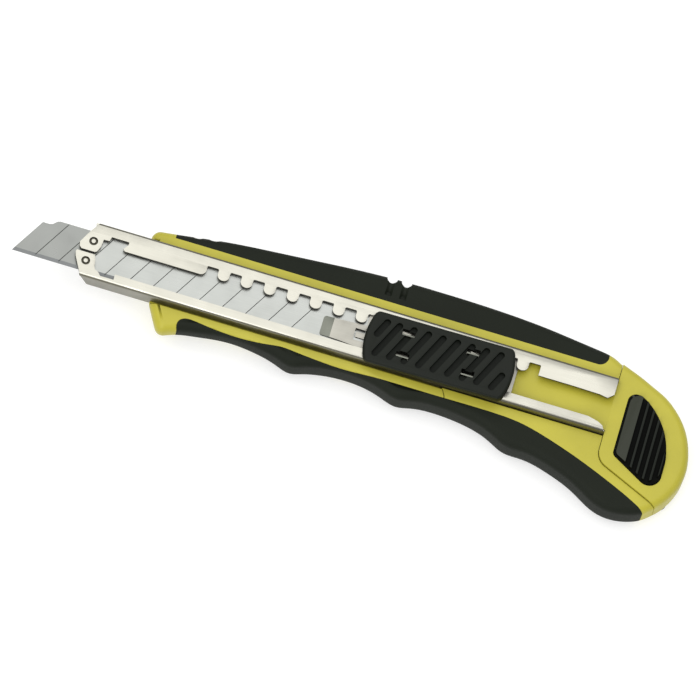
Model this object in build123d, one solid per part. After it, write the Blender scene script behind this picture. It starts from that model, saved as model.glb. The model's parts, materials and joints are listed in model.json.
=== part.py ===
"""Self-loading 9 mm snap-off utility knife, in millimetres.

The knife lies on its back. +X runs from the blade's tip to the butt, +Y towards the spine,
+Z up through the slider. Z = 0 is the flat back. Y = 0 is the middle of the steel channel.
"""
import os
from math import radians, tan

from build123d import *

# ---- blade -------------------------------------------------------------------------------
BLADE_LENGTH = 80.0
BLADE_WIDTH = 9.0
BLADE_THICK = 0.38
SEGMENT_PITCH = 5.0
SCORE_COUNT = 12
SCORE_ANGLE = 60.0
SCORE_DEPTH = 0.08
BEVEL_WIDTH = 0.75
BLADE_HOLE = 3.0
BLADE_HOLE_FROM_TAIL = 6.0
TIP_X = -73.9
BLADE_TOP = 10.55
BLADE_Y = -0.3
SPARE_TIP_X = -53.0
SPARE_GAP = 0.05

# ---- channel -----------------------------------------------------------------------------
CHANNEL_WIDTH = 12.4
CHANNEL_HEIGHT = 5.0
CHANNEL_TOP = 11.5
CHANNEL_FRONT = -61.05
CHANNEL_REAR = 55.0
SHEET = 0.5
BEND_RADIUS = 0.75
NOTCH_COUNT = 15
NOTCH_PITCH = 5.0
NOTCH_WIDTH = 2.5
FIRST_NOTCH_X = -32.6
NOTCH_TOP_Y = 3.8
UPPER_LIP_Y = 1.55
LOWER_LIP_Y = -3.97
FINGER_ROUND = 1.15
LIP_CUT_Z = CHANNEL_TOP - SHEET - 0.3
DIMPLES = [(-58.1, 1.8), (-58.5, -2.8)]
DIMPLE_RADIUS = 1.1
LUG_XS = (-20.0, 40.0)

# ---- handle ------------------------------------------------------------------------------
RAIL_TOP = 9.4
CAP_TOP = 10.0
CAP_SEAM_X = 55.04
CAP_GAP = 0.12
RISE_START_X = -6.0
RISE_AT_NOSE = 3.3
NOSE_X = -46.9
TOP_ROUND = 1.5
BOTTOM_ROUND = 1.6
SLOT_HALF = 6.22
RAIL_HALF = 6.8
RAIL_STEP_Z = 8.2
GRIP_SPINE_Y = 8.5
THUMB_NOTCH_XS = (3.85, 6.98)
NOSE_WAVES = [(-37.7, 11.45, 1.5), (-34.3, 12.4, 1.95)]
NOTCH_Y = 13.85
NOTCH_RADIUS = 1.1
COVER_THICK = 1.6
PANEL_GAP = 0.2

# ---- slider ------------------------------------------------------------------------------
KNOB_FRONT = 1.6
KNOB_REAR = 33.6
KNOB_LOW_Y = -6.8
KNOB_HIGH_Y = 4.8
KNOB_BASE = 11.65
KNOB_TOP_FRONT = 12.9
KNOB_TOP_REAR = 13.9
GROOVE_WIDTH = 1.4
GROOVE_DEPTH = 0.85
GROOVE_PITCH = 3.14
CARRIER_FRONT = -7.6
CARRIER_REAR = 34.2
CARRIER_TOP = 10.95
CARRIER_THICK = 0.34
TAB_XS = (10.3, 24.3)
TAB_YS = (1.2, -3.7)
TAB_THICK = 0.3

# ---- screws ------------------------------------------------------------------------------
SCREW_RADIUS = 1.0
SCREW_HEAD_RADIUS = 1.9
SCREW_FIT = 0.02


def box(x0, x1, y0, y1, z0, z1):
    """A box from its low and high corners."""
    return Pos((x0 + x1) / 2, (y0 + y1) / 2, (z0 + z1) / 2) * Box(x1 - x0, y1 - y0, z1 - z0)


def prism(points, z0, z1):
    """A closed outline of straight lines in plan, extruded from z0 to z1."""
    face = make_face(Polyline(*points, close=True))
    return Pos(0, 0, z0) * extrude(face, z1 - z0)


def rod(x, y, z0, z1, radius):
    """An upright cylinder."""
    return Pos(x, y, (z0 + z1) / 2) * Cylinder(radius, z1 - z0)


# ---- blades ------------------------------------------------------------------------------
def blade_solid(tip_x, top_z):
    """One segmented blade, cutting edge towards -Y, scored on its upper face."""
    low = -BLADE_WIDTH / 2
    high = BLADE_WIDTH / 2
    lean = 1 / tan(radians(SCORE_ANGLE))
    tail = tip_x + BLADE_LENGTH
    base_z = top_z - BLADE_THICK
    notch_y = high - 1.2
    outline = [
        (tip_x, low),
        (tail, low),
        (tail, high),
        (tip_x + 8.0, high),
        (tip_x + 7.4, high - 0.2),
        (tip_x + 6.6, notch_y + 0.2),
        (tip_x + 5.9, notch_y),
        (tip_x + (notch_y - low) * lean, notch_y),
    ]
    blade = prism(outline, base_z, top_z)
    edge_z = (base_z + top_z) / 2
    for face_z in (top_z, base_z):
        bevel = Polyline((0, low - 0.1, face_z), (0, low - 0.1, edge_z), (0, low, edge_z),
                         (0, low + BEVEL_WIDTH, face_z), close=True)
        blade -= Pos(tip_x - 1, 0, 0) * extrude(make_face(bevel), BLADE_LENGTH + 2, dir=(1, 0, 0))
    for k in range(SCORE_COUNT):
        foot = tip_x + 4.75 + k * SEGMENT_PITCH
        middle = foot + BLADE_WIDTH / 2 * lean
        groove = Rot(0, 0, SCORE_ANGLE) * Box(2 * BLADE_WIDTH, 0.16, 2 * SCORE_DEPTH)
        blade -= Pos(middle, 0, top_z) * groove
    blade -= rod(tail - BLADE_HOLE_FROM_TAIL, 0, base_z - 1, top_z + 1, BLADE_HOLE / 2)
    return Pos(0, BLADE_Y, 0) * blade


# ---- channel -----------------------------------------------------------------------------
def channel_section():
    """The closed tube outline that the lips are cut from, in the YZ plane."""
    outer = RectangleRounded(CHANNEL_WIDTH, CHANNEL_HEIGHT, BEND_RADIUS)
    inner = RectangleRounded(CHANNEL_WIDTH - 2 * SHEET, CHANNEL_HEIGHT - 2 * SHEET,
                             BEND_RADIUS - SHEET)
    middle = CHANNEL_TOP - CHANNEL_HEIGHT / 2
    return Plane((0, 0, middle), x_dir=(0, 1, 0), z_dir=(1, 0, 0)) * (outer - inner)


def channel_window():
    """Plan of the opening between the two lips, from the nose fingers to the rear end."""
    upper = [(-61.6, -0.45), (-57.2, -0.45), (-56.8, -0.2), (-56.25, 1.1), (-56.15, 2.75),
             (-54.9, 2.8), (-54.7, 3.8), (-50.9, 3.8), (-50.9, 3.1), (-51.7, 2.0),
             (-51.3, UPPER_LIP_Y)]
    rear = [(46.0, 1.5), (52.0, 1.4), (53.8, 1.1), (54.9, 2.1), (55.6, 2.1), (55.6, -6.1),
            (54.9, -6.1), (54.3, -5.1), (53.2, -4.5), (51.0, LOWER_LIP_Y)]
    lower = [(-51.8, LOWER_LIP_Y), (-51.8, -5.2), (-54.7, -5.2), (-55.3, -4.5),
             (-56.15, -4.1), (-56.35, -3.55), (-56.6, -2.0), (-57.0, -1.0), (-61.6, -1.0)]
    opening = make_face(Polyline(*upper, *rear, *lower, close=True))
    for k in range(NOTCH_COUNT):
        x = FIRST_NOTCH_X + k * NOTCH_PITCH
        notch = Rectangle(NOTCH_WIDTH, NOTCH_TOP_Y - UPPER_LIP_Y + 1)
        notch = fillet(notch.vertices().group_by(Axis.Y)[-1], 0.3)
        opening += Pos(x, (NOTCH_TOP_Y + UPPER_LIP_Y - 1) / 2) * notch
        for side in (-1, 1):
            if (k, side) != (NOTCH_COUNT - 1, 1):
                opening += finger_corner(x + side * NOTCH_WIDTH / 2, side)
    return opening


def finger_corner(x, side):
    """What is cut from a lip's corner at x, so that the finger has a round end."""
    reach = FINGER_ROUND
    middle = x + side * reach / 2
    square = Pos(middle, UPPER_LIP_Y + reach / 2 - 0.05) * Rectangle(reach, reach + 0.1)
    return square - Pos(x + side * reach, UPPER_LIP_Y + reach) * Circle(reach)


def channel():
    """Stainless guide: C-section, notched upper lip, nose fingers, coined dimples, side lugs."""
    tube = Pos(CHANNEL_FRONT, 0, 0) * extrude(channel_section(), CHANNEL_REAR - CHANNEL_FRONT)
    tube -= Pos(0, 0, LIP_CUT_Z) * extrude(channel_window(), 2)
    outside = [(-63, 7), (-57.9, 7), (-57.9, 6.0), (-59.3, 3.8), (-60.8, 0.9), (-60.6, 0.0),
               (-60.1, -0.45), (-60.9, -1.0), (-61.05, -1.4), (-60.8, -2.4), (-58.8, -6.2),
               (-58.8, -7), (-63, -7)]
    tube -= prism(outside, LIP_CUT_Z, CHANNEL_TOP + 1)
    flank_cut = Polyline((-63, 0, LIP_CUT_Z), (-58.6, 0, LIP_CUT_Z), (-56.6, 0, 6), (-63, 0, 6),
                         close=True)
    tube -= Pos(0, 8, 0) * extrude(make_face(flank_cut), 16, dir=(0, -1, 0))
    for x, y in DIMPLES:
        crater = Cone(DIMPLE_RADIUS - 0.35, DIMPLE_RADIUS, 0.6) - Cone(0.6, 0.3, 0.6)
        tube -= Pos(x, y, CHANNEL_TOP - 0.01) * crater
        tube += rod(x, y, BLADE_TOP + 0.08, CHANNEL_TOP - 0.3, 0.5)
    for x in LUG_XS:
        tube += box(x - 2, x + 2, -CHANNEL_WIDTH / 2 - 0.7, -CHANNEL_WIDTH / 2 + 0.3, 7.7, 8.0)
    return tube


# ---- handle outline ----------------------------------------------------------------------
def upper_curve():
    """Spine of the body, from the nose to the cap's seam."""
    return Spline((NOSE_X, 9.3), (-42.2, 9.9), (-32.2, 11.4), (-21.8, 12.45), (-9.3, 13.5),
                  (2.2, 14.25), (13.6, 14.45), (26.1, 14.25), (38.6, 13.45), (49.1, 12.2),
                  (53.4, 11.3), (CAP_SEAM_X, 10.4))


def lower_curve():
    """Finger side of the body, from the heel to the nose, with its three scallops."""
    return Spline((69.6, -18.35), (67.8, -19.9), (64.5, -21.3), (60.9, -21.75), (57.4, -21.1),
                  (52.2, -18.3), (45.9, -15.8), (40.2, -14.6), (36.0, -14.35), (32.4, -12.7),
                  (26.1, -10.9), (19.9, -10.4), (15.2, -10.8), (11.9, -11.4), (8.4, -10.45),
                  (4.6, -9.45), (0.6, -9.1), (-4.1, -9.4), (-8.2, -10.35), (-11.4, -11.2),
                  (-14.5, -10.4), (-19.7, -9.3), (-24.4, -9.0), (-28.0, -9.3), (-32.2, -10.05),
                  (-35.7, -10.8), (-40.0, -12.7))


def seam_curve(dx, dy):
    """Edge between the cap and the body, moved by dx and dy."""
    top = (CAP_SEAM_X + dx, 10.4 + dy)
    turn = (CAP_SEAM_X + dx, -9.6 + dy)
    slope = (57.2 + dx, -12.9 + dy)
    return [Line(top, turn), TangentArc(turn, slope, tangent=(0, -1)),
            Line(slope, (69.6 + dx, -18.35 + dy))]


def rise_z(x):
    """Height of the back face at x: flat at the rear, rising towards the nose."""
    return max(0.0, RISE_AT_NOSE * (RISE_START_X - x) / (RISE_START_X - NOSE_X))


def outer_edges(solid, top_z):
    """Edges round the outside of a handle solid at top_z, or on its back for top_z = 0."""
    chosen = []
    for edge in solid.edges():
        start, middle, end = edge @ 0, edge @ 0.5, edge @ 1
        on_top = top_z > 0 and middle.Z > top_z - 0.01
        on_back = top_z == 0 and middle.Z < rise_z(middle.X) + 0.02
        on_seam = CAP_SEAM_X - 0.5 < middle.X < 68 and -18 < middle.Y < 3
        across = abs(start.X - end.X) < 0.01 and abs(start.Y - end.Y) > 15
        if (on_top or on_back) and not on_seam and not across:
            chosen.append(edge)
    return chosen


def body_blank():
    """The whole body without the cap, before it is parted into frame, panel and grips."""
    front = Polyline((-40.0, -12.7), (-43.4, -6.6), (NOSE_X, 6.0), (NOSE_X, 9.3))
    face = make_face([upper_curve(), *seam_curve(0, 0), lower_curve(), front])
    corners = [(NOSE_X, 9.3, 2.0), (NOSE_X, 6.0, 4.0), (-43.4, -6.6, 4.0), (-40.0, -12.7, 1.9)]
    for x, y, radius in corners:
        face = fillet(face.vertices().sort_by_distance((x, y))[0], radius)
    solid = extrude(face, RAIL_TOP)
    wedge = Polyline((RISE_START_X, 0, 0), (NOSE_X - 1, 0, rise_z(NOSE_X - 1)),
                     (NOSE_X - 1, 0, -1), (RISE_START_X, 0, -1), close=True)
    solid -= Pos(0, 30, 0) * extrude(make_face(wedge), 60, dir=(0, -1, 0))
    solid = fillet(outer_edges(solid, RAIL_TOP), TOP_ROUND)
    return fillet(outer_edges(solid, 0), BOTTOM_ROUND)


# ---- grips and body ----------------------------------------------------------------------
def spine_region():
    """Plan of the spine grip, larger than the body on its outer side."""
    region = make_face(Polyline((-42.0, GRIP_SPINE_Y), (51.9, GRIP_SPINE_Y), (51.9, 20),
                                (-42.0, 20), close=True))
    return fillet(region.vertices().sort_by_distance((51.9, GRIP_SPINE_Y))[0], 2.0)


def finger_region():
    """Plan of the finger grip, larger than the body on its outer side."""
    edge = Spline((-34.0, -12.6), (-35.6, -11.5), (-36.45, -10.4), (-36.55, -9.4),
                  (-36.0, -8.45), (-35.0, -8.0), (-33.6, -7.95), (-31.0, -8.25), (-26.0, -8.5),
                  (-20.7, -8.5), (-17.0, -8.25), (-14.2, -7.95), (-11.4, -8.15), (-7.2, -8.5),
                  (5.3, -8.5), (19.0, -8.5), (32.4, -8.5), (37.6, -8.9), (43.9, -10.4),
                  (50.1, -12.4), (59.5, -16.1), (65.7, -19.0), (70.0, -21.6))
    outside = Polyline((70.0, -21.6), (70.0, -26), (-34.0, -26), (-34.0, -12.6))
    return make_face([edge, outside])


def finger_tool():
    """Everything that the finger grip fills: the outer band and a thicker band low down."""
    region = finger_region()
    band = Pos(0, 1.1, 0) * extrude(region, 7.2) - box(62, 80, -30, 0, -1, 8)
    return extrude(region, 12) + band


def spine_grip(blank):
    """Overmoulded spine grip with two thumb notches."""
    grip = blank & extrude(spine_region(), 12)
    for x, y, radius in NOSE_WAVES:
        grip -= rod(x, y, -1, 12, radius)
    for x in THUMB_NOTCH_XS:
        grip -= rod(x, NOTCH_Y, -1, 12, NOTCH_RADIUS)
        grip -= box(x - NOTCH_RADIUS, x + NOTCH_RADIUS, NOTCH_Y, 16, -1, 12)
        grip -= Pos(x, 12.6, RAIL_TOP + 0.7) * Rot(90, 0, 0) * Cylinder(1.1, 5.6)
    return grip - grip_studs(9.3)


def grip_studs(top_z):
    """Yellow studs of the rail that key the spine grip and show in the thumb notches."""
    studs = []
    for x in THUMB_NOTCH_XS:
        studs.append(rod(x, 10.3, 7.2, top_z, 0.6) + box(x - 0.4, x + 0.4, 8.2, 10.3, 7.2, 8.4))
    return studs


def side_tool():
    """Everything that the rear side panel fills."""
    outline = [(19.7, -SLOT_HALF), (20.3, -6.9), (20.8, -7.8), (21.1, -8.6), (21.1, -30),
               (75, -30), (75, -SLOT_HALF)]
    return prism(outline, 4.0, 12)


def channel_slot():
    """Space for the channel, its side lugs and the narrow gap beside its upper half."""
    seat_z = CHANNEL_TOP - CHANNEL_HEIGHT
    slot = box(-50, 56, -SLOT_HALF, SLOT_HALF, seat_z, 12)
    slot += box(-50, 20.2, -RAIL_HALF, RAIL_HALF, RAIL_STEP_Z, 12)
    slot += box(20, 56, -6.5, RAIL_HALF, RAIL_STEP_Z, 12)
    for x in LUG_XS:
        slot += box(x - 2.05, x + 2.05, -6.95, -6, 7.65, 8.05)
    return slot


def side_panel(blank, grip, slot):
    """Yellow rear panel between the channel, the cap and the finger grip, down to the heel."""
    return (blank & Pos(PANEL_GAP, 0, 0) * side_tool()) - grip - slot


BACK_SCREWS = [(-1.0, -2.8), (-1.0, 5.3), (43.0, -2.8), (43.0, 5.3)]
CAP_SCREWS = [(58.3, 6.2), (70.6, -14.0)]


def screw(x, y, radius, head_radius, length):
    """Countersunk self-tapping screw, head down on the back face, with a cross recess."""
    cone = Pos(x, y, 0.1) * extrude(Circle(head_radius), head_radius - radius, taper=44.9)
    body = cone + rod(x, y, 0.1, length, radius)
    for size in ((2 * radius, 0.35), (0.35, 2 * radius)):
        body -= Pos(x, y, 0.3) * Box(*size, 0.8)
    return body


def screw_hole(x, y, radius, head_radius, length):
    """Space for one screw, a little larger than it."""
    fit = SCREW_FIT
    cone = Pos(x, y, 0.1) * extrude(Circle(head_radius + fit), head_radius - radius, taper=44.9)
    mouth = rod(x, y, -1, 0.1, head_radius + fit)
    return cone + mouth + rod(x, y, 0, length + 0.3, radius + fit)


def back_screw_size():
    return SCREW_RADIUS, SCREW_HEAD_RADIUS, 4.6


def cap_screw_size():
    return 0.8, 1.4, 4.2


def back_screws():
    """The four screws of the back cover."""
    return Compound(children=[screw(x, y, *back_screw_size()) for x, y in BACK_SCREWS])


def cap_screws():
    """The two screws of the cap's base."""
    return Compound(children=[screw(x, y, *cap_screw_size()) for x, y in CAP_SCREWS])


def cover_face():
    """Plan of the back cover."""
    return Pos(21.0, 1.25) * RectangleRounded(50, 13.5, 3)


def back_cover():
    """Flat plate that closes the cored back of the body."""
    cover = extrude(cover_face(), COVER_THICK)
    for x, y in BACK_SCREWS:
        cover -= screw_hole(x, y, *back_screw_size())
    return cover


def body_frame(blank, grip, slot):
    """Yellow body: nose, upper rail, front lower rail, channel seat and cored back."""
    frame = blank - grip - extrude(spine_region(), 12) - side_tool() - slot + grip_studs(8.7)
    frame -= extrude(cover_face(), COVER_THICK) + box(2, 40, -3.5, 6.0, COVER_THICK, 5.2)
    frame += box(13.2, 14.4, -3.5, 6.0, COVER_THICK, 5.2) + box(27.6, 28.8, -3.5, 6.0, COVER_THICK, 5.2)
    for x, y in BACK_SCREWS:
        frame -= rod(x, y, 1, back_screw_size()[2] + 0.3, SCREW_RADIUS + SCREW_FIT)
    frame -= box(50.6, 56, -6.2, -1.8, 2.0, 4.4) + box(50.6, 52.6, -6.2, -1.8, 4.4, 5.9)
    return frame


# ---- end cap -----------------------------------------------------------------------------
BUTTON_CENTRE = (63.6, -5.0)
BUTTON_HALF = (5.4, 9.4)
RIB_COUNT = 5
FIRST_RIB_X = 62.35
RIB_PITCH = 1.55
RIB_WIDTH = 0.5


def button_face(grow):
    """D-shaped plan of the release button, its outline moved outwards by grow."""
    def place(x, y):
        cx, cy = BUTTON_CENTRE
        return (cx + (x - cx) * (1 + grow / BUTTON_HALF[0]),
                cy + (y - cy) * (1 + grow / BUTTON_HALF[1]))

    side = [place(x, y) for x, y in ((60.6, 4.2), (63.2, 2.6), (65.8, -0.1), (67.8, -3.6),
                                     (68.7, -6.6), (69.0, -9.6))]
    rest = [place(x, y) for x, y in ((69.0, -16.2), (58.15, -9.95), (58.15, 4.2))]
    round_side = Spline(*side, tangents=((1, -0.4), (0, -1)))
    face = make_face([round_side, Polyline(side[-1], *rest, side[0])])
    for corner, radius in ((rest[2], 1.8), (rest[0], 2.6), (rest[1], 1.3)):
        face = fillet(face.vertices().sort_by_distance(corner)[0], radius)
    return face


def end_cap():
    """Yellow butt cap, with the tongue that closes the magazine inside the channel."""
    outer = Spline((55.16, 10.5), (57.4, 9.65), (59.5, 8.85), (62.6, 7.45), (65.7, 5.95),
                   (67.8, 4.4), (69.9, 2.3), (72.0, -0.8), (73.3, -4.2), (73.95, -8.5),
                   (73.3, -12.6), (72.0, -15.4), (70.9, -17.0), (69.72, -18.25))
    shell = extrude(make_face([outer, *seam_curve(CAP_GAP, 0.1)]), CAP_TOP)
    shell = fillet(outer_edges(shell, CAP_TOP), TOP_ROUND)
    shell = fillet(outer_edges(shell, 0), BOTTOM_ROUND)
    cavity = [(57.0, 4.9), (61.5, 5.1), (64.8, 3.4), (67.6, 0.4), (69.8, -4.5), (70.7, -10.3),
              (70.2, -13.2), (68.0, -15.5), (64.6, -15.0), (58.6, -12.2), (57.0, -10.8)]
    shell -= prism(cavity, 1.0, 7.6)
    shell -= extrude(cap_base_face(), 1.6)
    shell -= Pos(0, 0, 5) * extrude(button_face(0.12), 6)
    shell -= box(66, 70.4, -6.05, -1.95, 3.38, 3.82)
    shell -= box(55, 57.5, -6.1, -1.9, 2.0, 5.9)
    for x, y in CAP_SCREWS:
        shell -= screw_hole(x, y, *cap_screw_size())
    tongue = box(27.7, 56, -5.3, 5.3, 7.4, 9.9) - box(29.5, 54, -3.6, 3.6, 7, 8.6)
    return shell + tongue


def cap_base_face():
    """Plan of the plate that closes the cap from the back."""
    return make_face(Polyline((56.4, 7.9), (59.4, 7.5), (63.5, 5.5), (67.8, 2.1), (70.9, -3.5),
                              (72.0, -8.5), (71.8, -12.5), (71.0, -15.6), (68.2, -16.4),
                              (58.2, -12.0), (56.4, -10.0), close=True))


def cap_base():
    """Back plate of the cap, with the post that clamps the latch spring."""
    base = extrude(cap_base_face(), 1.6)
    base += box(66.5, 69.0, -5.5, -2.5, 1.5, 3.38)
    for x, y in CAP_SCREWS:
        base -= screw_hole(x, y, *cap_screw_size())
    return base


def cap_button():
    """Ribbed release button with a retaining flange and a stem on the latch spring."""
    button = Pos(0, 0, 6.3) * extrude(button_face(0), 3.9)
    button += Pos(0, 0, 6.3) * extrude(button_face(0.55), 1.2)
    button += box(61.5, 65.0, -5.6, -2.4, 3.95, 6.4)
    top = Pos(0, 0, 10.1) * extrude(button_face(-0.4), 1.0)
    ramp = Polyline((58, 0, 10.1), (58, 0, 10.4), (60.6, 0, 11.1), (61.0, 0, 11.1), (61.0, 0, 10.1),
                    close=True)
    ribs = Pos(0, 6, 0) * extrude(make_face(ramp), 22, dir=(0, -1, 0))
    for k in range(RIB_COUNT):
        x = FIRST_RIB_X + RIB_PITCH * k
        ribs += box(x - RIB_WIDTH / 2, x + RIB_WIDTH / 2, -16, 6, 10, 11.1)
    return button + (top & ribs)


def latch_spring():
    """Leaf in the cap: clamped at the butt end, barbed at the other, under the button's stem."""
    leaf = box(51.4, 70.3, -6.0, -2.0, 3.4, 3.8)
    barb = make_face(Polyline((51.4, 0, 3.5), (52.5, 0, 3.5), (52.5, 0, 5.5), (52.1, 0, 5.5),
                              (51.4, 0, 4.0), close=True))
    return leaf + Pos(0, -2.0, 0) * extrude(barb, 4.0, dir=(0, -1, 0))


# ---- slider ------------------------------------------------------------------------------
def knob_top_z(x):
    """Height of the knob's sloping top at x."""
    return KNOB_TOP_FRONT + (x - KNOB_FRONT) / (KNOB_REAR - KNOB_FRONT) * (
        KNOB_TOP_REAR - KNOB_TOP_FRONT)


def knob_grooves():
    """Slanted stadium grooves: eight long ones and a short one at each end."""
    long_length = 8.0
    lean = -25.4
    grooves = []
    spots = [(6.35 + GROOVE_PITCH * k, -1.05, long_length) for k in range(8)]
    spots += [(4.7, 1.1, 3.4), (30.6, -3.3, 3.4)]
    for x, y, length in spots:
        shape = Rot(0, 0, lean) * Rot(0, 0, 90) * SlotCenterToCenter(length, GROOVE_WIDTH)
        grooves.append(Pos(x, y, knob_top_z(x) - GROOVE_DEPTH) * extrude(shape, 3))
    return grooves


def tab_spots():
    """Plan position of each clinched tab."""
    return [(x, y) for x in TAB_XS for y in TAB_YS]


def slider_knob():
    """Thumb slide: sloping slab with bowed ends, a keel in the window and four tab slots."""
    low, high = KNOB_LOW_Y, KNOB_HIGH_Y
    middle = (low + high) / 2
    front = ThreePointArc((KNOB_FRONT + 1.2, high), (KNOB_FRONT, middle), (KNOB_FRONT + 1.2, low))
    rear = ThreePointArc((KNOB_REAR - 1.2, low), (KNOB_REAR, middle), (KNOB_REAR - 1.2, high))
    sides = [Line(front @ 1, rear @ 0), Line(rear @ 1, front @ 0)]
    face = make_face([front, sides[0], rear, sides[1]])
    face = fillet(face.vertices(), 1.3)
    knob = Pos(0, 0, KNOB_BASE) * extrude(face, 3)
    slope = Polyline((-2, 0, knob_top_z(-2)), (40, 0, knob_top_z(40)), (40, 0, 20), (-2, 0, 20),
                     close=True)
    knob -= Pos(0, 20, 0) * extrude(make_face(slope), 40, dir=(0, -1, 0))
    knob = fillet(knob.edges().group_by(Axis.Z)[-1] + knob.edges().filter_by(
        lambda edge: abs((edge @ 0.5).Z - knob_top_z((edge @ 0.5).X)) < 0.01), 0.7)
    for groove in knob_grooves():
        knob -= groove
    knob += box(4.0, 31.0, -3.88, 1.38, CARRIER_TOP + 0.05, KNOB_BASE + 0.1)
    knob -= box(12.4, 22.4, 0.1, 1.5, 10, KNOB_BASE)
    for x, y in tab_spots():
        knob -= box(x - 1.4, x + 1.4, y - 0.27, y + 1.05, 10, 20)
    return knob


def carrier_pad():
    """Front end of the carrier, bent down towards the blade, with rounded corners."""
    low_z = BLADE_TOP + 0.03
    rear = -4.9
    drop = Polyline((CARRIER_FRONT, 0, low_z), (CARRIER_FRONT, 0, low_z + 0.12),
                    (rear, 0, CARRIER_TOP), (rear, 0, low_z + 0.02), close=True)
    wedge = Pos(0, 1.0, 0) * extrude(make_face(drop), 4.4, dir=(0, -1, 0))
    plan = Pos((CARRIER_FRONT + rear) / 2, -1.2) * Rectangle(rear - CARRIER_FRONT, 4.4)
    plan = fillet(plan.vertices().group_by(Axis.X)[0], 0.6)
    return wedge & Pos(0, 0, low_z - 1) * extrude(plan, 3)


def blade_carrier():
    """Steel plate under the lips: front pad on the blade, lanced hook and clinched tabs."""
    low_z = CARRIER_TOP - CARRIER_THICK
    plate = box(1.5, CARRIER_REAR, -5.3, 5.3, low_z, CARRIER_TOP)
    arm = [(-5.4, -3.4), (-3.0, -3.5), (1.6, -3.9), (1.6, 1.4), (-3.0, 1.1), (-5.4, 1.0)]
    plate += prism(arm, low_z, CARRIER_TOP)
    plate += carrier_pad()
    plate -= box(-0.6, 3.0, -2.4, 0.2, low_z - 1, CARRIER_TOP + 1)
    foot_z = BLADE_TOP - 0.3
    hook = make_face(Polyline((3.2, 0, CARRIER_TOP), (1.0, 0, CARRIER_TOP - 0.06),
                              (-0.3, 0, CARRIER_TOP - 0.15), (-0.3, 0, foot_z), (0.3, 0, foot_z),
                              (0.3, 0, low_z - 0.02), (1.4, 0, low_z), (3.2, 0, low_z),
                              close=True))
    plate += Pos(0, -0.5, 0) * extrude(hook, 1.2, dir=(0, -1, 0))
    for x, y in tab_spots():
        plate += box(x - 1.3, x + 1.3, y - TAB_THICK / 2, y + TAB_THICK / 2, CARRIER_TOP - 0.1,
                     knob_top_z(x) - 0.35)
    return plate


def detent_spring():
    """Bowed leaf in the knob's keel, with the tooth that clicks into the notches."""
    outer = ThreePointArc((12.7, 0.45), (17.4, 1.4), (22.1, 0.45))
    inner = ThreePointArc((22.1, 0.2), (17.4, 1.15), (12.7, 0.2))
    leaf = make_face([outer, Line((22.1, 0.45), (22.1, 0.2)), inner,
                      Line((12.7, 0.2), (12.7, 0.45))])
    tooth = make_face(Polyline((16.4, 1.25), (16.8, 3.2), (18.0, 3.2), (18.4, 1.25), close=True))
    tooth = fillet(tooth.vertices().group_by(Axis.Y)[-1], 0.4)
    return Pos(0, 0, CARRIER_TOP + 0.03) * extrude(leaf + tooth, 0.45)


# ---- magazine ----------------------------------------------------------------------------
SPARE_UPPER_TOP = BLADE_TOP - BLADE_THICK - SPARE_GAP
SPARE_LOWER_TOP = SPARE_UPPER_TOP - BLADE_THICK - SPARE_GAP


def follower_plate():
    """Plate that lifts the spare blades towards the lips."""
    top = SPARE_LOWER_TOP - BLADE_THICK - SPARE_GAP
    return Pos(-11.7, BLADE_Y, top - 0.5) * extrude(RectangleRounded(76.6, 8.6, 1.5), 0.5)


def follower_spring():
    """Bowed leaf spring between the channel's web and the follower plate."""
    web = CHANNEL_TOP - CHANNEL_HEIGHT + SHEET + 0.02
    rise = SPARE_LOWER_TOP - BLADE_THICK - SPARE_GAP - 0.5 - 0.04 - web - 0.2
    upper = ThreePointArc((-42, 0, web + 0.2), (-12, 0, web + 0.2 + rise), (18, 0, web + 0.2))
    lower = ThreePointArc((18, 0, web), (-12, 0, web + rise), (-42, 0, web))
    bow = make_face([upper, Line(upper @ 1, lower @ 0), lower, Line(lower @ 1, upper @ 0)])
    return Pos(0, 2.5, 0) * extrude(bow, 5, dir=(0, -1, 0))


def build():
    """Every sub-part by its node name."""
    blank = body_blank()
    slot = channel_slot()
    tool = finger_tool()
    grip = blank & tool
    return {
        "channel": channel(),
        "blade": blade_solid(TIP_X, BLADE_TOP),
        "spare_blade_upper": blade_solid(SPARE_TIP_X, SPARE_UPPER_TOP),
        "spare_blade_lower": blade_solid(SPARE_TIP_X, SPARE_LOWER_TOP),
        "follower_plate": follower_plate(),
        "follower_spring": follower_spring(),
        "blade_carrier": blade_carrier(),
        "slider_knob": slider_knob(),
        "detent_spring": detent_spring(),
        "body_frame": body_frame(blank, tool, slot),
        "side_panel": side_panel(blank, tool, slot),
        "back_cover": back_cover(),
        "back_screws": back_screws(),
        "spine_grip": spine_grip(blank),
        "finger_grip": grip,
        "end_cap": end_cap(),
        "cap_base": cap_base(),
        "cap_screws": cap_screws(),
        "cap_button": cap_button(),
        "latch_spring": latch_spring(),
    }


os.makedirs("parts", exist_ok=True)
for name, shape in build().items():
    export_step(shape, f"parts/{name}.step")
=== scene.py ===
import json
from math import cos, radians, sin

import bmesh
import bpy
import numpy as np
from mathutils import Matrix, Vector, geometry


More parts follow.
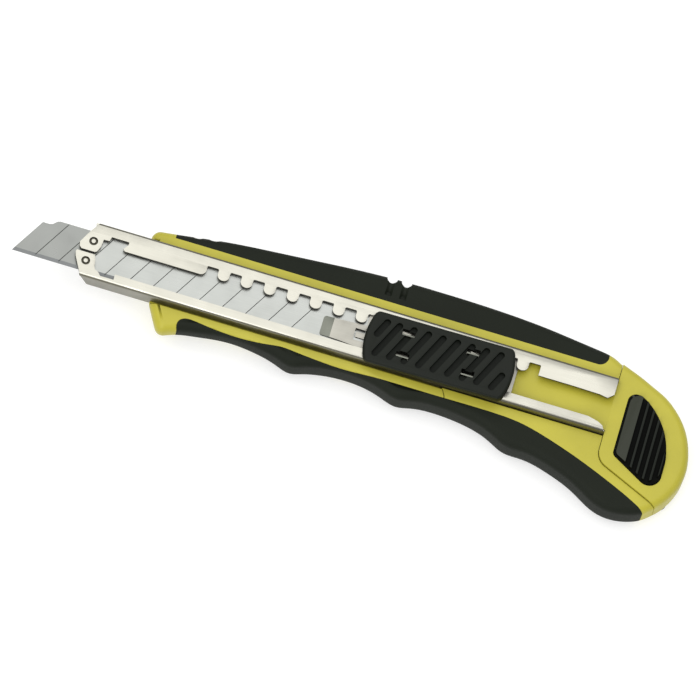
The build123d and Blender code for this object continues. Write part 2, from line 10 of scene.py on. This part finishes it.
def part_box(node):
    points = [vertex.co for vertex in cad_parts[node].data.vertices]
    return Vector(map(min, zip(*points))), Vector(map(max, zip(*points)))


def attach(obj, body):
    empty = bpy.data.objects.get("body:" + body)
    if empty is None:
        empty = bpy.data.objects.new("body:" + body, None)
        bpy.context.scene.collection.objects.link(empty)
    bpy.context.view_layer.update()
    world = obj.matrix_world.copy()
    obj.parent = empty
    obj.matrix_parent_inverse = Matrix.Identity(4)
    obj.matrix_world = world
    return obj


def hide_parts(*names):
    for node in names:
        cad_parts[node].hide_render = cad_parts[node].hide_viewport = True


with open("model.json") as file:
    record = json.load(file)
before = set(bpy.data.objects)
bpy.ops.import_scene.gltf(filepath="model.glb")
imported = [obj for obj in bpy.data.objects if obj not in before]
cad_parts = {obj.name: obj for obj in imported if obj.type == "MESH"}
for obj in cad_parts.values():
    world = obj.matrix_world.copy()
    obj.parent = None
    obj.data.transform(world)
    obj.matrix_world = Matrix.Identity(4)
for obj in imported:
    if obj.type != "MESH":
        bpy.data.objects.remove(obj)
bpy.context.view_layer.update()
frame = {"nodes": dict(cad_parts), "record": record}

MM = 0.001
scene = bpy.context.scene
BODY_OF = {n: b for b, ns in frame["record"]["behaviour"]["bodies"].items() for n in ns}
SLOT_OF = {row["node"]: row["material_slot"] for row in frame["record"]["subparts"]}


# ---- camera, light and floor ---------------------------------------------------------------
VIEW_HEIGHT = radians(69.6)
VIEW_ROLL = radians(16.64)
VIEW_DISTANCE = 2.0
VIEW_WIDTH = 0.1458
SENSOR = 36
TARGET = Vector((-0.46, -4.16, 9.0)) * MM


def make_camera():
    """A long lens above the slider face, with the knife lying tip up and to the left."""
    back = Vector((0, -cos(VIEW_HEIGHT), sin(VIEW_HEIGHT)))
    level = Vector((1, 0, 0))
    rise = back.cross(level)
    right = level * cos(VIEW_ROLL) + rise * sin(VIEW_ROLL)
    up = rise * cos(VIEW_ROLL) - level * sin(VIEW_ROLL)
    data = bpy.data.cameras.new("camera")
    data.sensor_width = SENSOR
    data.lens = SENSOR * VIEW_DISTANCE / VIEW_WIDTH
    camera = bpy.data.objects.new("camera", data)
    turn = Matrix((right, up, back)).transposed().to_4x4()
    camera.matrix_world = Matrix.Translation(TARGET + back * VIEW_DISTANCE) @ turn
    scene.collection.objects.link(camera)
    scene.camera = camera


def make_light(name, place, size, power):
    """A square softbox that looks at the knife."""
    data = bpy.data.lights.new(name, "AREA")
    data.shape = "SQUARE"
    data.size = size
    data.energy = power
    light = bpy.data.objects.new(name, data)
    light.location = place
    light.rotation_euler = (-Vector(place)).to_track_quat("-Z", "Y").to_euler()
    scene.collection.objects.link(light)


def linear(hex_colour):
    """sRGB hex to the linear colour that the shaders take."""
    parts = [int(hex_colour[i:i + 2], 16) / 255 for i in (1, 3, 5)]
    return tuple(p / 12.92 if p <= 0.04045 else ((p + 0.055) / 1.055) ** 2.4 for p in parts) + (1,)


def node(tree, kind, settings=None, links=None):
    """Adds one shader node, sets its values and links its inputs."""
    made = tree.nodes.new("ShaderNode" + kind)
    for key, value in (settings or {}).items():
        if isinstance(key, int) or key in made.inputs:
            made.inputs[key].default_value = value
        else:
            setattr(made, key, value)
    for key, source in (links or {}).items():
        tree.links.new(source, made.inputs[key])
    return made


def blank_material(name):
    """An empty material with its output node."""
    material = bpy.data.materials.new(name)
    material.use_nodes = True
    material.node_tree.nodes.clear()
    return material, material.node_tree


def close(tree, surface):
    """Links a shader to the output."""
    node(tree, "OutputMaterial", links={"Surface": surface.outputs[0]})


def per_mm(size):
    """Texture scale for features of that many millimetres."""
    return 1 / (size * MM)


def make_stage():
    """Plain pale floor and a white room."""
    world = bpy.data.worlds.new("studio")
    world.use_nodes = True
    world.node_tree.nodes["Background"].inputs["Color"].default_value = (1, 1, 1, 1)
    world.node_tree.nodes["Background"].inputs["Strength"].default_value = 0.62
    scene.world = world
    mesh = bpy.data.meshes.new("floor")
    half = 1.5
    mesh.from_pydata([(-half, -half, 0), (half, -half, 0), (half, half, 0), (-half, half, 0)],
                     [], [(0, 1, 2, 3)])
    floor = bpy.data.objects.new("floor", mesh)
    scene.collection.objects.link(floor)
    # Opal acrylic table top, lit from below: it keeps the floor white and the shadows faint.
    material, tree = blank_material("opal_acrylic_lit_from_below")
    close(tree, node(tree, "BsdfPrincipled",
                     {"Base Color": linear("#C4C4C3"), "Roughness": 0.9,
                      "Emission Color": linear("#FFFFFF"), "Emission Strength": 0.5}))
    mesh.materials.append(material)
    make_light("overhead", (-0.15, 0.2, 1.15), 1.8, 14)
    make_light("front", (-0.35, -0.95, 0.85), 0.8, 6)


# ---- materials -----------------------------------------------------------------------------
FLOW_WIDTH = 14
SMEAR_WIDTH = 5
HAIRLINE = (6.0, 0.12, 0.12)
# Length in mm over which the painted shade near the blade's tip fades in.
TIP_SHADE_FADE = 3


def darker(colour, share):
    """The same linear colour with less light in it."""
    return tuple(c * share for c in colour[:3]) + (1,)


def moulded(name, colour, rough, grain, depth, gloss_level):
    """Moulded plastic: a spark-eroded grain, sized in mm, and a soft flow mottle."""
    material, tree = blank_material(name)
    place = node(tree, "TexCoord").outputs["Object"]
    flow = node(tree, "TexNoise", {"Scale": per_mm(FLOW_WIDTH), "Detail": 4.0}, {"Vector": place})
    speck = node(tree, "TexNoise", {"Scale": per_mm(grain), "Detail": 3.0, "Roughness": 0.6},
                 {"Vector": place})
    base = linear(colour)
    deep = darker(base, 0.88)
    shade = node(tree, "ValToRGB", links={"Fac": flow.outputs["Fac"]})
    shade.color_ramp.elements[0].position, shade.color_ramp.elements[0].color = 0.35, deep
    shade.color_ramp.elements[1].position, shade.color_ramp.elements[1].color = 0.65, base
    gloss = node(tree, "MapRange", {"From Min": 0.3, "From Max": 0.7, "To Min": rough - 0.05,
                                    "To Max": rough + 0.06}, {"Value": speck.outputs["Fac"]})
    bump = node(tree, "Bump", {"Strength": 0.5, "Distance": depth * MM},
                {"Height": speck.outputs["Fac"]})
    close(tree, node(tree, "BsdfPrincipled", {"IOR": 1.53, "Specular IOR Level": gloss_level},
                     {"Base Color": shade.outputs["Color"], "Roughness": gloss.outputs[0],
                      "Normal": bump.outputs["Normal"]}))
    return material


def steel(name, colour, rough, hairline=HAIRLINE, depth=0.002, tip_shade_to=None):
    """Rolled or ground strip: hairlines, sized in mm, under soft handling smears."""
    material, tree = blank_material(name)
    place = node(tree, "TexCoord").outputs["Object"]
    drawn = node(tree, "Mapping", {"Scale": tuple(per_mm(size) for size in hairline)},
                 {"Vector": place})
    hair = node(tree, "TexNoise", {"Scale": 1.0, "Detail": 4.0, "Roughness": 0.7},
                {"Vector": drawn.outputs[0]})
    smear = node(tree, "TexNoise", {"Scale": per_mm(SMEAR_WIDTH), "Detail": 5.0},
                 {"Vector": place})
    gloss = node(tree, "MapRange", {"From Min": 0.3, "From Max": 0.7, "To Min": rough - 0.06,
                                    "To Max": rough + 0.1}, {"Value": smear.outputs["Fac"]})
    base = linear(colour)
    deep = darker(base, 0.9)
    shade = node(tree, "ValToRGB", links={"Fac": hair.outputs["Fac"]})
    shade.color_ramp.elements[0].position, shade.color_ramp.elements[0].color = 0.3, deep
    shade.color_ramp.elements[1].position, shade.color_ramp.elements[1].color = 0.7, base
    bump = node(tree, "Bump", {"Strength": 0.4, "Distance": depth * MM},
                {"Height": hair.outputs["Fac"]})
    tone = shade.outputs["Color"]
    # Painted shade: the strip is darkened towards its tip end, standing for the darker reflection
    # there.
    if tip_shade_to is not None:
        length = node(tree, "SeparateXYZ", links={"Vector": place})
        share = node(tree, "MapRange", {"From Min": (tip_shade_to - TIP_SHADE_FADE) * MM,
                                        "From Max": tip_shade_to * MM}, {"Value": length.outputs["X"]})
        tone = node(tree, "Mix", {"data_type": "RGBA", 6: darker(base, 0.62)},
                    {0: share.outputs[0], 7: tone}).outputs[2]
    close(tree, node(tree, "BsdfPrincipled", {"Metallic": 1.0},
                     {"Base Color": tone, "Roughness": gloss.outputs[0],
                      "Normal": bump.outputs["Normal"]}))
    return material


MATERIALS = {
    # ABS, injection moulded in yellow with a fine spark-eroded skin: a satin surface whose
    # broad soft highlight follows the edge rounds, with a faint flow mottle 14 mm wide. The
    # real grain is 0.05 mm and would not show, so it is drawn 0.25 mm wide.
    "yellow_abs": moulded("yellow_abs_moulded", "#B0A836", 0.42, 0.25, 0.012, 0.3),
    # TPR rubber moulded over the frame: matt and very dark, so that the eye reads its shape
    # from a weak sheen. The mould's 0.1 mm grain is drawn 0.3 mm wide to show.
    "black_rubber": moulded("black_tpr_overmoulded", "#171B13", 0.62, 0.3, 0.03, 0.12),
    # Black ABS for the slide and the button: a little glossier than the rubber beside it,
    # with the same grain as the yellow moulding.
    "black_plastic": moulded("black_abs_moulded", "#12160F", 0.45, 0.25, 0.02, 0.14),
    # Stainless strip, cold rolled and bent: warm white, mirror-like but blurred by hairlines
    # along the strip. They are 0.01 mm wide in life and drawn 0.12 mm wide.
    "stainless_steel": steel("stainless_strip_rolled", "#B8B6AB", 0.3),
    # Carbon steel, ground flat: a cooler, darker grey than the guide, with painted shade that
    # darkens it towards the tip.
    "blade_steel": steel("carbon_steel_ground", "#A2A4A0", 0.3, tip_shade_to=-57),
    # Tempered spring strip, seen only when the knife is open or from the back.
    "spring_steel": steel("spring_steel_strip", "#9A9C9C", 0.3),
    # Zinc plate on the screws: a bluish bright grey.
    "zinc_screw": steel("zinc_plated_steel", "#A9AAAA", 0.3),
}
# Steel sheared by the press tool: a torn face that outlines every lip and notch, drawn dark as
# painted shade in the gaps at the edges.
SHEARED_EDGE_SHADE = steel("sheared_steel_edge_painted_shade", "#55534A", 0.45, (0.2, 0.2, 2.0), 0.004)
# Steel drawn down by the coining punch: painted dark round the dimple as painted shade in the
# hollow.
DIMPLE_SHADE = steel("coined_steel_painted_shade", "#4E4C42", 0.25)
# Outside of a press bend, painted dark as painted shade: the darker reflection of the rounded bend.
BEND_SHADE = steel("steel_bend_painted_shade", "#6E6C60", 0.4)
# Side walls of the guide, painted darker as painted shade: the darker reflection of a side wall.
FLANK_SHADE = steel("rolled_steel_flank_painted_shade", "#8A887D", 0.38)
# Carrier sheet, a plainer steel than the guide, rubbed dull by the lips.
CARRIER = steel("carrier_strip_rubbed", "#A3A198", 0.42)
# Its front pad, which is tilted, and the tops of its tabs, deep in the slide's slots, painted
# darker as painted shade.
PAD_SHADE = steel("carrier_pad_painted_shade", "#74766D", 0.42)
# Blade edge ground across the strip: a bluish band with 0.12 mm wheel marks.
GROUND_BEVEL = steel("blade_bevel_ground", "#6E7070", 0.35, (0.12, 3.0, 3.0), 0.004)
# Snap-off score, a pressed groove painted dark as painted shade, so that it reads as a thin dark
# line.
SCORE_SHADE = steel("score_line_painted_shade", "#454643", 0.5)
# Walls of the moulded grooves and the button's rib gaps, painted near black as painted shade: a
# dark line round each groove.
GROOVE_SHADE = moulded("black_abs_groove_wall_painted_shade", "#050604", 0.6, 0.25, 0.02, 0.05)
# Groove floors, painted a shade deeper than the slide's top as painted shade in the grooves.
GROOVE_FLOOR_SHADE = moulded("black_abs_groove_floor_painted_shade", "#0C100A", 0.55, 0.25, 0.02, 0.11)
# The button's thumb ramp: its upward faces drawn paler than the rest of the button.
RAMP_PALE = moulded("black_abs_ramp_paler", "#2D3026", 0.5, 0.25, 0.03, 0.2)


# ---- handle skin, in mm --------------------------------------------------------------------
RAIL_TOP = 9.4
CAP_TOP = 10.0
TOP_ROUND = 1.8
BACK_ROUND = 4.0
NOSE_RISE = 3.3
RISE_START_X = -6.0
RISE_LENGTH = 40.9
SKIN_INSET = 0.07
OUTLINE_STEP = 0.45
RINGS = (0.0, 0.12, 0.3, 0.55, 0.85, 1.2, 1.6, 1.85, 2.3, 2.9, 3.5, 4.05)
RING_SLACK = 0.02
GRID = 1.6
GRID_CLEAR = 0.4
PLAN_WELD = 1e-5
TANGENT_STEPS = 4

SPINE = [(-46.9, 9.3), (-42.2, 9.9), (-32.2, 11.4), (-21.8, 12.45), (-9.3, 13.5), (2.2, 14.25),
         (13.6, 14.45), (26.1, 14.25), (38.6, 13.45), (49.1, 12.2), (53.4, 11.3), (55.04, 10.4)]
BUTT = [(55.16, 10.5), (57.4, 9.65), (59.5, 8.85), (62.6, 7.45), (65.7, 5.95), (67.8, 4.4),
        (69.9, 2.3), (72.0, -0.8), (73.3, -4.2), (73.95, -8.5), (73.3, -12.6), (72.0, -15.4),
        (70.9, -17.0), (69.72, -18.25)]
FINGERS = [(69.6, -18.35), (67.8, -19.9), (64.5, -21.3), (60.9, -21.75), (57.4, -21.1),
           (52.2, -18.3), (45.9, -15.8), (40.2, -14.6), (36.0, -14.35), (32.4, -12.7),
           (26.1, -10.9), (19.9, -10.4), (15.2, -10.8), (11.9, -11.4), (8.4, -10.45),
           (4.6, -9.45), (0.6, -9.1), (-4.1, -9.4), (-8.2, -10.35), (-11.4, -11.2),
           (-14.5, -10.4), (-19.7, -9.3), (-24.4, -9.0), (-28.0, -9.3), (-32.2, -10.05),
           (-35.7, -10.8), (-40.0, -12.7)]
NOSE = [((-40.0, -12.7), 1.9), ((-43.4, -6.6), 4.0), ((-46.9, 6.0), 4.0), ((-46.9, 9.3), 2.0)]


def spline(points):
    """Points close together on the smooth curve through the given ones."""
    p = np.array(points, float)
    t = np.concatenate(([0], np.cumsum(np.linalg.norm(np.diff(p, axis=0), axis=1))))
    h = np.diff(t)
    count = len(p)
    left = np.eye(count)
    right = np.zeros((count, 2))
    for i in range(1, count - 1):
        left[i, i - 1:i + 2] = h[i - 1], 2 * (h[i - 1] + h[i]), h[i]
        right[i] = 6 * ((p[i + 1] - p[i]) / h[i] - (p[i] - p[i - 1]) / h[i - 1])
    bend = np.linalg.solve(left, right)
    samples = np.linspace(0, t[-1], int(t[-1] / OUTLINE_STEP) + 1)
    found = []
    for s in samples:
        i = min(max(int(np.searchsorted(t, s)) - 1, 0), count - 2)
        a, b = t[i + 1] - s, s - t[i]
        found.append((bend[i] * a ** 3 + bend[i + 1] * b ** 3) / (6 * h[i])
                     + (p[i] / h[i] - bend[i] * h[i] / 6) * a
                     + (p[i + 1] / h[i] - bend[i + 1] * h[i] / 6) * b)
    return np.array(found)


def corner(before, point, after, radius):
    """Arc that rounds a corner of the outline."""
    point = np.array(point)
    one = (before - point) / np.linalg.norm(before - point)
    two = (after - point) / np.linalg.norm(after - point)
    half = np.arccos(np.dot(one, two)) / 2
    reach = radius / np.tan(half)
    middle = point + (one + two) / np.linalg.norm(one + two) * radius / np.sin(half)
    start, end = point + one * reach - middle, point + two * reach - middle
    sweep = np.pi - 2 * half
    steps = max(3, int(radius * sweep / OUTLINE_STEP) + 1)
    share = np.linspace(0, 1, steps + 1)[:, None]
    arc = (start * np.sin((1 - share) * sweep) + end * np.sin(share * sweep)) / np.sin(sweep)
    return middle + arc, reach


def outline():
    """The handle in plan, anticlockwise from the cap's seam on the spine, dense and closed."""
    spine, butt, fingers = spline(SPINE)[::-1], spline(BUTT), spline(FINGERS)
    corners = [np.array(place) for place, radius in NOSE]
    around = [fingers[-TANGENT_STEPS], *corners, spine[-TANGENT_STEPS]]
    nose = []
    for i, (place, radius) in enumerate(NOSE):
        arc, reach = corner(around[i], place, around[i + 2], radius)
        if i == 0:
            fingers = fingers[np.linalg.norm(fingers - corners[0], axis=1) > reach]
        if i == 3:
            spine = spine[np.linalg.norm(spine - corners[3], axis=1) > reach]
        nose.append(arc)
    loop = np.concatenate([butt, fingers, *nose, spine[::-1]])
    return resample(loop)[::-1]


def resample(loop):
    """The same closed outline with even steps."""
    closed = np.vstack([loop, loop[:1]])
    t = np.concatenate(([0], np.cumsum(np.linalg.norm(np.diff(closed, axis=0), axis=1))))
    s = np.linspace(0, t[-1], int(t[-1] / OUTLINE_STEP), endpoint=False)
    return np.column_stack([np.interp(s, t, closed[:, 0]), np.interp(s, t, closed[:, 1])])


def distance(points, loop):
    """Distance of each point from the closed outline."""
    a, b = loop, np.roll(loop, -1, axis=0)
    along = b - a
    best = np.full(len(points), 1e9)
    for start, way in zip(a, along):
        share = np.clip((points - start) @ way / (way @ way), 0, 1)
        best = np.minimum(best, np.linalg.norm(points - start - share[:, None] * way, axis=1))
    return best


def inside(points, loop):
    """Whether each point is inside the closed outline."""
    a, b = loop, np.roll(loop, -1, axis=0)
    hit = np.zeros(len(points), bool)
    for (x0, y0), (x1, y1) in zip(a, b):
        if y0 != y1:
            spans = (y0 > points[:, 1]) != (y1 > points[:, 1])
            hit ^= spans & (points[:, 0] < (x1 - x0) * (points[:, 1] - y0) / (y1 - y0) + x0)
    return hit


def skin_plan():
    """The handle's plan as triangles, closer together where the edges are round."""
    loop = outline()
    way = np.roll(loop, -1, axis=0) - np.roll(loop, 1, axis=0)
    inward = np.column_stack([-way[:, 1], way[:, 0]]) / np.linalg.norm(way, axis=1)[:, None]
    rings = [loop + inward * SKIN_INSET]
    for depth in RINGS[1:]:
        ring = loop + inward * (SKIN_INSET + depth)
        clear = distance(ring, loop) > SKIN_INSET + depth - RING_SLACK
        rings.append(ring[clear & inside(ring, loop)])
    xs = np.arange(loop[:, 0].min(), loop[:, 0].max(), GRID)
    ys = np.arange(loop[:, 1].min(), loop[:, 1].max(), GRID)
    grid = np.array([(x, y) for x in xs for y in ys])
    grid = grid[inside(grid, loop)]
    rings.append(grid[distance(grid, loop) > RINGS[-1] + GRID_CLEAR])
    points = np.vstack(rings)
    count = len(rings[0])
    plan, _, faces = geometry.delaunay_2d_cdt(
        [Vector(p) for p in points], [], [list(range(count))], 1, PLAN_WELD)[:3]
    flat = np.array([tuple(p) for p in plan])
    return flat, faces, distance(flat, loop) - SKIN_INSET


def round_drop(depth, radius):
    """How far a rounded edge lies below the flat at a depth from the outline."""
    left = radius - np.clip(depth, 0, radius)
    return radius - np.sqrt(radius ** 2 - left ** 2)


def skin(plan, top):
    """Closed outer shape of the handle, with a tight upper round and a soft back round."""
    flat, faces, depth = plan
    high = top - round_drop(depth, TOP_ROUND)
    rise = np.clip((RISE_START_X - flat[:, 0]) * NOSE_RISE / RISE_LENGTH, 0, None)
    low = SKIN_INSET + rise + round_drop(depth, BACK_ROUND)
    verts = [(*p, z) for p, z in zip(flat, high)] + [(*p, z) for p, z in zip(flat, low)]
    total = len(flat)
    made = [tuple(f) for f in faces] + [tuple(total + v for v in reversed(f)) for f in faces]
    rim = {}
    for face in faces:
        for a, b in zip(face, face[1:] + face[:1]):
            rim[(a, b)] = rim.get((a, b), 0) + 1
    for a, b in rim:
        if (b, a) not in rim:
            made.append((b, a, total + a, total + b))
    mesh = bpy.data.meshes.new("handle_skin")
    mesh.from_pydata([Vector(v) * MM for v in verts], [], made)
    return mesh


# ---- pieces --------------------------------------------------------------------------------
# Welds are in metres, as the meshes are.
CAD_WELD = 2e-6
CAD_FLAT = radians(0.3)
CUT_WELD = 2.5e-5
CUT_FLAT = radians(0.6)


def cleaned(name):
    """A mesh copied from a CAD node, welded and without needless edges."""
    mesh = frame["nodes"][name].data.copy()
    work = bmesh.new()
    work.from_mesh(mesh)
    bmesh.ops.remove_doubles(work, verts=work.verts, dist=CAD_WELD)
    bmesh.ops.dissolve_limit(work, angle_limit=CAD_FLAT, verts=work.verts, edges=work.edges)
    work.to_mesh(mesh)
    work.free()
    return mesh


def finished(name, mesh, width=0, angle=30):
    """A piece that replaces the node, its edges broken by a width in mm, or sharp at 0."""
    mesh.materials.clear()
    mesh.materials.append(MATERIALS[SLOT_OF[name]])
    mesh.shade_smooth()
    piece = bpy.data.objects.new(name + "_finished", mesh)
    scene.collection.objects.link(piece)
    if width:
        bevel = piece.modifiers.new("broken_edges", "BEVEL")
        bevel.width = width * MM
        bevel.segments = 2
        bevel.limit_method = "ANGLE"
        bevel.angle_limit = radians(angle)
        bevel.harden_normals = True
    else:
        mesh.set_sharp_from_angle(angle=radians(angle))
        even = piece.modifiers.new("even_shading", "WEIGHTED_NORMAL")
        even.keep_sharp = True
    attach(piece, BODY_OF[name])
    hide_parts(name)
    return piece


def refinish(piece, material, chosen):
    """Gives some faces of a piece another finish, chosen by their middle in mm and normal."""
    piece.data.materials.append(material)
    for face in piece.data.polygons:
        if chosen(face.center / MM, face.normal):
            face.material_index = len(piece.data.materials) - 1


def within(mesh, skin_mesh):
    """What a mesh and the handle's skin share."""
    parts = [bpy.data.objects.new("part", m) for m in (mesh, skin_mesh)]
    for part in parts:
        scene.collection.objects.link(part)
    cut = parts[0].modifiers.new("within", "BOOLEAN")
    cut.operation = "INTERSECT"
    cut.solver = "EXACT"
    cut.object = parts[1]
    graph = bpy.context.evaluated_depsgraph_get()
    made = bpy.data.meshes.new_from_object(parts[0].evaluated_get(graph))
    for part in parts:
        bpy.data.objects.remove(part)
    work = bmesh.new()
    work.from_mesh(made)
    bmesh.ops.remove_doubles(work, verts=work.verts, dist=CUT_WELD)
    bmesh.ops.dissolve_degenerate(work, edges=work.edges, dist=CUT_WELD)
    bmesh.ops.dissolve_limit(work, angle_limit=CUT_FLAT, verts=work.verts, edges=work.edges)
    work.to_mesh(made)
    work.free()
    return made


# ---- finishes ------------------------------------------------------------------------------
# Limits on a part of a face's normal, from -1 to 1.
UPRIGHT = 0.3
FACING = 0.9
FRONT_BEND = -0.6
BACK_BEND_Y = 0.3
BACK_BEND_Z = 0.2
DISHED = 0.98
BEVEL_Y = -0.15
BEVEL_Z = 0.8
BEVEL_LEAN = (-0.4, -0.2)
# Places and sizes in mm.
STUD_XS = (3.85, 6.98)
STUD_REACH = 0.7
STUD_Y = 8
STUD_Z = 7
DIMPLES = [Vector((-58.1, 1.8)), Vector((-58.5, -2.8))]
DIMPLE_REACH = 1.15
DIMPLE_FLOOR = 11.3
LIP_UNDERSIDE = 11.0
WINDOW_HALF = 5.6
FLANK_Y = 5.4
TAB_FOOT = 11.5
PAD_REAR = -4.9
KNOB_FRONT = 1.6
KNOB_TOP_FRONT = 12.9
KNOB_SLOPE = 1 / 32
KNOB_INNER = (-5.6, 3.7)
GROOVE_LIP = 0.35
RAMP_REAR = 61.0
GAP_TOP = 10.5
SCORE_FROM = 0.1
SCORE_TO = 0.02


def is_wall(normal):
    """Whether a face stands upright."""
    return abs(normal.z) < UPRIGHT


def finish_handle():
    """The five mouldings that share the handle's skin."""
    plan = skin_plan()
    body_skin = skin(plan, RAIL_TOP - SKIN_INSET)
    cap_skin = skin(plan, CAP_TOP - SKIN_INSET)
    moulding = finished("body_frame", within(cleaned("body_frame"), body_skin))
    for name in ("side_panel", "spine_grip", "finger_grip"):
        finished(name, within(cleaned(name), body_skin))
    finished("end_cap", within(cleaned("end_cap"), cap_skin))
    # A thin skin of the grip's rubber covers the studs that show in the thumb notches.
    refinish(moulding, MATERIALS["black_rubber"], lambda c, n: c.z > STUD_Z and c.y > STUD_Y
             and min(abs(c.x - x) for x in STUD_XS) < STUD_REACH)


def finish_channel():
    """Bright lips with painted shade on their sheared edges, round the dimples, on the bends and on
    the flanks.
    """
    def in_dimple(c):
        return min((c.xy - place).length for place in DIMPLES) < DIMPLE_REACH

    channel = finished("channel", cleaned("channel"), width=0.04)
    # Painted shade on the guide's front flank.
    refinish(channel, FLANK_SHADE, lambda c, n: c.y < -FLANK_Y and n.y < -FACING)
    # Painted shade on the bends between the lips and the flanks.
    refinish(channel, BEND_SHADE, lambda c, n: c.y < -FLANK_Y and -FACING <= n.y < FRONT_BEND and n.z > 0)
    refinish(channel, BEND_SHADE,
             lambda c, n: c.y > FLANK_Y and n.y > BACK_BEND_Y and n.z > BACK_BEND_Z)
    # Painted shade on the sheared walls of the window's lips.
    refinish(channel, SHEARED_EDGE_SHADE,
             lambda c, n: c.z > LIP_UNDERSIDE and is_wall(n) and abs(c.y) < WINDOW_HALF)
    # Painted shade in and round the coined dimples.
    refinish(channel, DIMPLE_SHADE, lambda c, n: in_dimple(c) and (
        LIP_UNDERSIDE < c.z < DIMPLE_FLOOR or c.z > LIP_UNDERSIDE and abs(n.z) < DISHED))


def finish_carrier():
    """Rubbed carrier sheet with painted shade on its pad, its tab tops and its sheared edges."""
    carrier = finished("blade_carrier", cleaned("blade_carrier"), width=0.05)
    refinish(carrier, CARRIER, lambda c, n: c.z < TAB_FOOT)
    # Painted shade on the tilted front pad.
    refinish(carrier, PAD_SHADE, lambda c, n: c.x < PAD_REAR)
    # Painted shade on the carrier's sheared walls.
    refinish(carrier, SHEARED_EDGE_SHADE, lambda c, n: is_wall(n))
    # Painted shade on the tab tops in the slide's slots.
    refinish(carrier, PAD_SHADE, lambda c, n: c.z > TAB_FOOT and not is_wall(n))


def finish_knob():
    """Slide with painted shade: near black groove walls and floors a shade deeper than its top."""
    def in_groove(c):
        top = KNOB_TOP_FRONT + (c.x - KNOB_FRONT) * KNOB_SLOPE
        return TAB_FOOT < c.z < top - GROOVE_LIP and KNOB_INNER[0] < c.y < KNOB_INNER[1]

    knob = finished("slider_knob", cleaned("slider_knob"), width=0.12)
    # Painted shade on the walls of the slide's grooves.
    refinish(knob, GROOVE_SHADE, lambda c, n: in_groove(c) and abs(n.z) < FACING)
    # Painted shade on the groove floors.
    refinish(knob, GROOVE_FLOOR_SHADE, lambda c, n: in_groove(c) and n.z > FACING)


def finish_button():
    """Button with a paler ramp and painted shade in the gaps between its ribs."""
    button = finished("cap_button", cleaned("cap_button"), width=0.06)
    refinish(button, RAMP_PALE, lambda c, n: c.x < RAMP_REAR and n.z > FACING)
    # Painted shade in the gaps between the button's ribs and on its walls.
    refinish(button, GROOVE_SHADE,
             lambda c, n: c.z < GAP_TOP and c.x > RAMP_REAR or is_wall(n))


def finish_blade(name):
    """A blade with its ground bevel and painted shade in its scored lines."""
    blade = finished(name, cleaned(name), angle=5)
    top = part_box(name)[1].z / MM
    refinish(blade, GROUND_BEVEL, lambda c, n: n.y < BEVEL_Y and abs(n.z) > BEVEL_Z)
    # Painted shade in the snap-off scores.
    refinish(blade, SCORE_SHADE, lambda c, n: top - SCORE_FROM < c.z < top - SCORE_TO
             and abs(n.y) < FACING and not BEVEL_LEAN[0] < n.y < BEVEL_LEAN[1])


make_camera()
make_stage()
scene.view_settings.view_transform = "Standard"

for cad_name, cad in frame["nodes"].items():
    cad.data.materials.clear()
    cad.data.materials.append(MATERIALS[SLOT_OF[cad_name]])

finish_handle()
finish_channel()
finish_carrier()
finish_knob()
finish_button()
for blade_name in ("blade", "spare_blade_upper", "spare_blade_lower"):
    finish_blade(blade_name)
